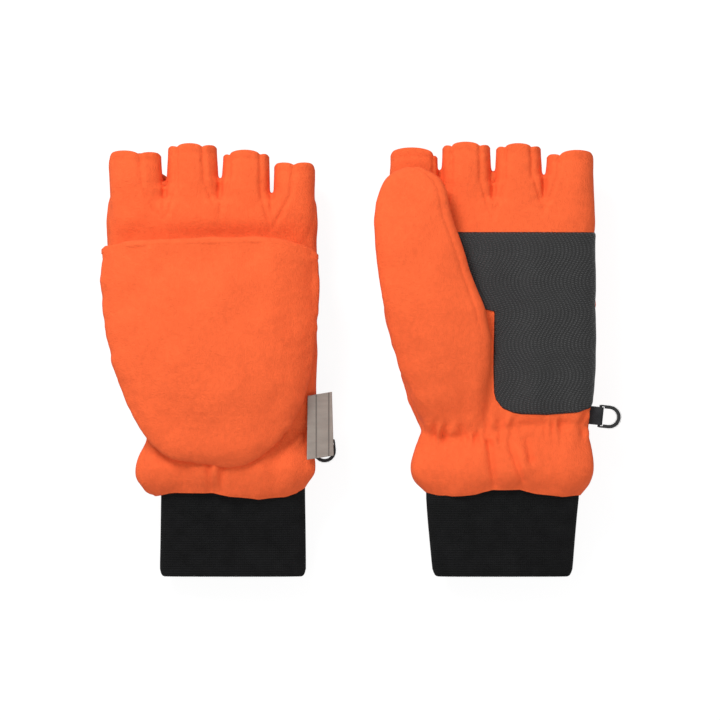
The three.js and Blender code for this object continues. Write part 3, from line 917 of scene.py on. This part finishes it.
def build_hem(glove, top):
    """The soft rolled hem along the hood's mouth; top holds the hood's points near there."""
    xs = np.linspace(HOOD_LEFT + 3.5, HOOD_RIGHT - 3.5, 160)
    centre = []
    for x in xs:
        near = top[np.abs(top[:, 0] - x) < 1.6]
        if len(near):
            lip = near[near[:, 1] > near[:, 1].max() - 1.2]
            centre.append((x, lip[:, 1].max() + 1.2 - HEM_ROLL, lip[:, 2].max() - HEM_ROLL))
    centre = np.array(centre)
    for _ in range(14):
        centre[1:-1] = (centre[:-2] + 2 * centre[1:-1] + centre[2:]) / 4
    angle = np.linspace(0, 2 * np.pi, 20, endpoint=False)
    verts = []
    for k, (x, y, h) in enumerate(centre):
        # thinner towards both ends
        end = min(k, len(centre) - 1 - k)
        r = HEM_ROLL * (0.5 + 0.5 * float(smoothstep(end, 0, 24)))
        r *= 1 + 0.04 * float(glove.noise(x / 6, 1, 1))
        for a in angle:
            verts.append((x, y + r * math.cos(a), h + r * math.sin(a)))
    size = (len(centre), len(angle))
    mesh = mesh_of(f"{glove.name}_hem", metres(verts), strip(*size) + caps(*size))
    obj = glove.piece("hood_hem_roll", glove.lay(mesh), "fleece")
    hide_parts(*glove.nodes("hood_hem"))
    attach(obj, f"{glove.name}_hood")


def build_band(glove, name, node, y_from, y_to, inset, thickness, finish, back_only):
    """
    A strip of the hand's own form: all round it, or over its back only, where it joins the hood
    to the glove.
    """
    ys = np.linspace(y_from, y_to, 9)
    left, right, half = table(HAND, ys)
    if back_only:
        angle = np.linspace(0, np.pi, 90)[16:-16]
    else:
        angle = np.linspace(0, 2 * np.pi, 180, endpoint=False)
    verts = []
    for y, a, b, c in zip(ys, left, right, half):
        x = (a + b) / 2 + rounded(np.cos(angle)) * ((b - a) / 2 - inset)
        h = rounded(np.sin(angle)) * (c - inset)
        if back_only:
            # the far edge is sewn to the hood's under panel
            h += (hood_under(x) - h) * float(smoothstep(y, y_from + 3, y_to - 1))
        verts.extend(np.stack([x, np.full(len(angle), y), h], 1))
    faces = strip(len(ys), len(angle), closed=not back_only)
    obj = thick(glove.piece(name, mesh_of(name, metres(verts), faces), finish), thickness)
    glove.lay(obj.data)
    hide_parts(*glove.nodes(node))
    if back_only:
        start, end = glove.place([(0, y_to - 5, HOOD_UNDER_H), (0, y_to - 0.5, HOOD_UNDER_H)])
        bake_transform(obj)
    else:
        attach(obj, glove.body)


def build_cuff(glove):
    """The fine rib knit cuff, doubled, with its ribs standing out."""
    ys = np.r_[0, 0.35, 0.9, CUFF_ROUND, np.arange(4, CUFF_LENGTH, 4.0), CUFF_LENGTH]
    angle = np.linspace(0, 2 * np.pi, CUFF_SAMPLES, endpoint=False)
    circle = lambda t: rounded(t, CUFF_SQUARENESS)
    # points at even distances round a plain section, and as many ribs as fit there
    unit = np.stack([circle(np.cos(angle)) * 40.4, circle(np.sin(angle)) * 8.6], 1)
    length = np.r_[0, np.cumsum(np.hypot(*np.diff(unit, axis=0).T))]
    whole = length[-1] + np.hypot(*(unit[0] - unit[-1]))
    even = np.interp(np.linspace(0, whole, CUFF_SAMPLES, endpoint=False), length, angle)
    phase = np.linspace(0, round(whole / RIB) * 2 * np.pi, CUFF_SAMPLES, endpoint=False)
    ridge = np.abs(np.sin(phase / 2))
    (left_foot, left_top), (right_foot, right_top) = glove.cuff
    verts = []
    for inner in (False, True):
        for y in ys:
            edge = math.sqrt(max(0, 1 - (1 - min(y, CUFF_ROUND) / CUFF_ROUND) ** 2))
            inset = (1.2 + 1.0 * edge) if inner else (1.2 - 1.2 * edge)
            corner = 1.6 * max(0, 1 - y / 5) ** 2
            ripple = 0 if inner else 0.22 * (ridge ** 0.7 - 0.6)
            wave = 0.35 * glove.noise(np.cos(even) * 2 + 4, y / 30, 1)
            up = np.interp(y, [0, HEM_Y], [0, 1])
            left = left_foot + up * (left_top - left_foot)
            right = right_foot + up * (right_top - right_foot)
            wide = (right - left) / 2 - inset - corner + ripple + wave
            high = CUFF_HALF - inset + ripple + 0.6 * glove.noise(np.cos(even) * 3, y / 24, 5)
            x = (left + right) / 2 + circle(np.cos(even)) * wide
            h = circle(np.sin(even)) * high
            lift = 0.3 * ridge * (1 if y < 1 and not inner else 0)
            verts.extend(np.stack([x, y - lift + 0.25, h], 1))
    rows = len(ys)
    outer = strip(rows, CUFF_SAMPLES)
    inside = rows * CUFF_SAMPLES
    top = (rows - 1) * CUFF_SAMPLES
    faces = outer + [[inside + v for v in reversed(face)] for face in outer]
    for i in range(CUFF_SAMPLES):
        j = (i + 1) % CUFF_SAMPLES
        faces.append([i, j, inside + j, inside + i])
        faces.append([top + j, top + i, inside + top + i, inside + top + j])
    mesh = mesh_of(f"{glove.name}_cuff", metres(verts), faces)
    obj = glove.piece("rib_cuff", glove.lay(mesh), "knit")
    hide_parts(*glove.nodes("knit_cuff"))
    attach(obj, glove.body)


def build_label(glove):
    """A blank satin label, caught in the little finger's seam."""
    a, b, c, d = LABEL
    u, v = np.meshgrid(np.linspace(0, 1, 34), np.linspace(0, 1, 60), indexing="ij")
    x = (1 - u) * ((1 - v) * a[0] + v * d[0]) + u * ((1 - v) * b[0] + v * c[0])
    y = (1 - u) * ((1 - v) * a[1] + v * d[1]) + u * ((1 - v) * b[1] + v * c[1])
    stitch = 0.12 * bell(u - 0.93, 0.02) + 0.12 * bell(v - 0.03, 0.01) + 0.12 * bell(v - 0.97, 0.01)
    h = 10.4 - 0.38 * (x - a[0]) + 0.5 * np.sin(v * 2.6) * u - 0.6 * u ** 2 - stitch
    verts = np.stack([x, y, h], -1).reshape(-1, 3)
    mesh = mesh_of("label", metres(verts), strip(*u.shape, closed=False))
    obj = thick(glove.piece("label_tag", mesh, "label"), 0.5)
    glove.lay(obj.data)
    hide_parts(*glove.nodes("side_label"))
    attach(obj, glove.body)


# ------------------------------------------------------------------ the clip

SHARP_ANGLE = 35         # degrees; sharper edges are rounded


def smooth_copy(glove, node, name, finish, body, width, segments=3, swell=0.0, root=0.0):
    """
    A CAD piece of the clip again, with its edges rounded over width. swell thickens it away from
    the bar, and root lengthens its inner end into the glove, all in mm.
    """
    source = frame["nodes"][f"{glove.name}_{node}"]
    mesh = source.data.copy()
    hinge = next(j for j in frame["joints"] if j["name"] == f"{glove.name}_clip_swing")
    outward = np.array([hinge["axis"][1], -hinge["axis"][0], 0])
    points = coords(mesh)
    along = (points - np.array(hinge["pos_m"])) @ outward / MM
    points += normals(mesh) * (swell * MM * smoothstep(along, 1.6, 4))[:, None]
    points -= outward * (root * MM * smoothstep(-along, 1.5, 5))[:, None]
    set_coords(mesh, points)
    bm = bmesh.new()
    bm.from_mesh(mesh)
    bmesh.ops.remove_doubles(bm, verts=bm.verts, dist=1e-6)
    bmesh.ops.dissolve_limit(bm, angle_limit=math.radians(2), verts=bm.verts, edges=bm.edges)
    joined = [e for e in bm.edges if len(e.link_faces) == 2]
    sharp = [e for e in joined if e.calc_face_angle() > math.radians(SHARP_ANGLE)]
    bmesh.ops.bevel(
        bm, geom=sharp, offset=width * MM, segments=segments, profile=0.5,
        affect="EDGES", clamp_overlap=True,
    )
    bm.to_mesh(mesh)
    bm.free()
    shade(mesh)
    mesh.materials.clear()
    mesh.materials.append(MATERIALS[finish])
    obj = linked(f"{glove.name}_{name}", mesh)
    obj.matrix_world = source.matrix_world
    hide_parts(f"{glove.name}_{node}")
    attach(obj, body)
    return obj


# ------------------------------------------------------------------ both gloves

# Each stall is (left, right, tip), each fork the y where two stalls part, and the seams are the x
# of those that show on the glove's upper face. folds are creases in the skirt, as (x, y) lines.
# wrist is the line of the gathers, x and y. hem is x and how far the hem shifts there along y.
# cuff is the x of its left side, at its mouth and at its top, and then of its right side.
GLOVES = [
    Glove(
        "right", 1, 17.4, -0.08, 0, thumb_in=4.2, skirt_out=-0.6, wrap=0, hood_in=0,
        stalls=[(-58.2, -29, 239), (-26, 2.2, 243.2), (4.7, 31.4, 239.6), (33.4, 56.6, 232.6)],
        forks=[221, 225, 217.5],
        seams=[(-41.6,), (-20.1, -6.6), (9.2, 25.6), (44.9,)],
        folds=[[(-3, 72), (-2, 47)], [(5, 74), (4, 48)]],
        wrist=([-40, -20, 56], [79.5, 81, 82.5]),
        hem=([-44, -36, -25, 0, 10, 25, 40, 50, 57], [-0.5, -1.5, 1.4, 1.4, -0.5, -1.8, -0.8, 2.4, 4.6]),
        cuff=((-30.8, -29.4), (51.2, 50.7)),
        seed=11,
    ),
    Glove(
        "left", -1, 18.1, 0, -5, thumb_in=0, skirt_out=2.8, wrap=4.5, hood_in=4,
        stalls=[(-56.4, -29.4, 240.8), (-27.4, 0.2, 244), (2.6, 28.6, 243.2), (31, 57.6, 239.4)],
        forks=[220.3, 223.5, 228],
        seams=[(-32.4,), (-21.7, -6.6), (8.1, 22.4), (38.8,)],
        folds=[[(-1.5, 76), (2.4, 49)], [(9, 79), (17.9, 53)], [(20, 78), (22, 66)]],
        wrist=([-40, -28, -8, 6, 20, 56], [83, 78.5, 78.5, 83, 85.5, 86]),
        hem=([-44, -22, -9, 1, 16, 25, 40, 58], [0.4, -0.4, 0.6, 3.4, 3.4, 1.2, -0.4, 0.8]),
        cuff=((-31.9, -36.2), (46.2, 49.5)),
        seed=23,
    ),
]
for glove in GLOVES:
    tree = build_hand(glove)
    build_patch(glove, tree)
    build_hood(glove)
    build_cuff(glove)
    build_band(glove, "elastic_band", "wrist_elastic", 80.5, 87.5, 5.4, 0.8, "elastic", False)
    build_band(glove, "knuckle_band", "hood_anchor", 176, 186.5, -1.3, 1.3, "fleece", True)
    smooth_copy(glove, "clip_ring", "ring", "plastic", f"{glove.name}_clip", 0.45, swell=0.4)
    smooth_copy(glove, "clip_tape", "tape_loop", "tape", glove.body, 0.12, 2, root=4.5)
build_label(GLOVES[0])

# ------------------------------------------------------------------ studio

WHITE = (1, 1, 1, 1)
FLOOR_SIDE = 3           # metres from the middle to each side
FLOOR_Z = -0.0005
CAMERA_HEIGHT = 3.0
ACROSS = 0.4032          # metres that the picture shows at the height AIM
AIM = 0.03
SENSOR = 36

corners = [(-1, -1), (1, -1), (1, 1), (-1, 1)]
floor = linked("floor", mesh_of(
    "floor", [(x * FLOOR_SIDE, y * FLOOR_SIDE, FLOOR_Z) for x, y in corners], [(0, 1, 2, 3)],
))
paper = material("floor", (0.16, 0.16, 0.16), 0.95, specular=0)
paper_shader = paper.node_tree.nodes["Principled BSDF"]
paper_shader.inputs["Emission Color"].default_value = WHITE
paper_shader.inputs["Emission Strength"].default_value = 0.9
floor.data.materials.append(paper)
floor.visible_diffuse = False

scene = bpy.context.scene
scene.view_settings.view_transform = "Standard"
world = bpy.data.worlds.new("studio")
scene.world = world
world.use_nodes = True
background = world.node_tree.nodes["Background"]
background.inputs["Color"].default_value = WHITE
background.inputs["Strength"].default_value = 0.5


def softbox(name, place, size, power):
    """A square light of that size, in metres and watts, turned to the middle of the floor."""
    light = bpy.data.lights.new(name, "AREA")
    light.size = size
    light.energy = power
    obj = bpy.data.objects.new(name, light)
    scene.collection.objects.link(obj)
    obj.location = place
    obj.rotation_euler = (-Vector(place)).to_track_quat("-Z", "Y").to_euler()


softbox("key", (-0.55, 0.95, 1.0), 0.5, 16.5)
softbox("fill", (0.3, -0.6, 1.3), 1.0, 4.5)

camera = bpy.data.objects.new("camera", bpy.data.cameras.new("camera"))
scene.collection.objects.link(camera)
scene.camera = camera
camera.location = (0, 0, CAMERA_HEIGHT)
camera.data.sensor_width = SENSOR
camera.data.lens = SENSOR * (CAMERA_HEIGHT - AIM) / ACROSS
camera.data.clip_end = 20
